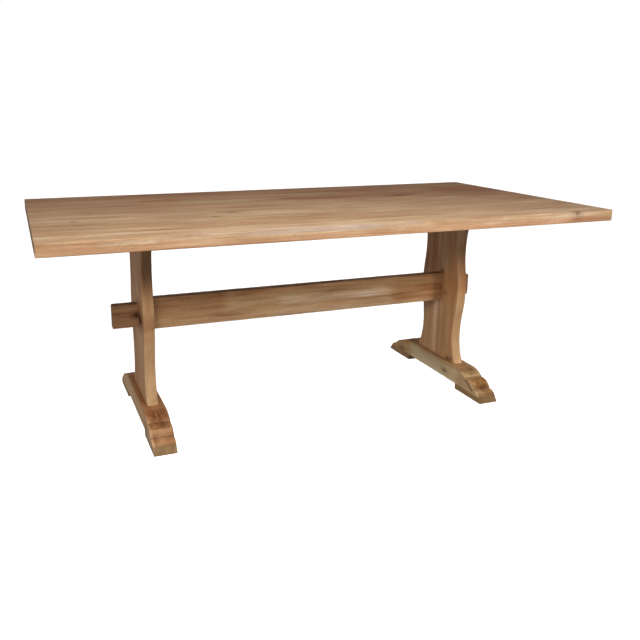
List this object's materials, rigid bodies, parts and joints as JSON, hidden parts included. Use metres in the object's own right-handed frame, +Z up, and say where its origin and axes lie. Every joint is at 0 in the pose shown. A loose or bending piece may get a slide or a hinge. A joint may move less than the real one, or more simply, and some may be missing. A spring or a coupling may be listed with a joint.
{
  "type": "trestle dining table",
  "caption": "Rectangular solid-wood dining table on wavy slab trestles with stepped sled feet, tied by a stretcher whose tenons pass through the legs.",
  "frame": {"origin": "on the floor, under the middle of the top", "axes": "+X along the length of the top, +Y towards the back edge, +Z up"},
  "size_m": [2, 1, 0.76],
  "materials": {
    "top_wood": "satin oil over straight-grained boards",
    "trestle_wood": "satin oil",
    "dowel_wood": "raw turned or planed hardwood",
    "plated_steel": "zinc plated"
  },
  "bodies": {
    "root": {"top_board_1": "top_wood", "top_board_2": "top_wood", "top_board_3": "top_wood", "top_board_4": "top_wood", "top_board_5": "top_wood", "top_board_6": "top_wood", "top_board_7": "top_wood", "top_board_8": "top_wood", "left_leg_back_stave": "trestle_wood", "left_leg_front_stave": "trestle_wood", "right_leg_back_stave": "trestle_wood", "right_leg_front_stave": "trestle_wood", "left_foot": "trestle_wood", "right_foot": "trestle_wood", "left_foot_back_pad": "trestle_wood", "left_foot_front_pad": "trestle_wood", "right_foot_back_pad": "trestle_wood", "right_foot_front_pad": "trestle_wood", "left_top_bearer": "trestle_wood", "right_top_bearer": "trestle_wood", "stretcher": "trestle_wood", "top_loose_tongues": "dowel_wood", "leg_stave_dowels": "dowel_wood", "stretcher_lock_dowels": "dowel_wood", "top_fixing_screws": "plated_steel", "top_fixing_washers": "plated_steel", "bearer_coach_screws": "plated_steel", "bearer_washers": "plated_steel", "foot_coach_screws": "plated_steel", "foot_washers": "plated_steel", "foot_pad_screws": "plated_steel"}
  },
  "joints": []
}
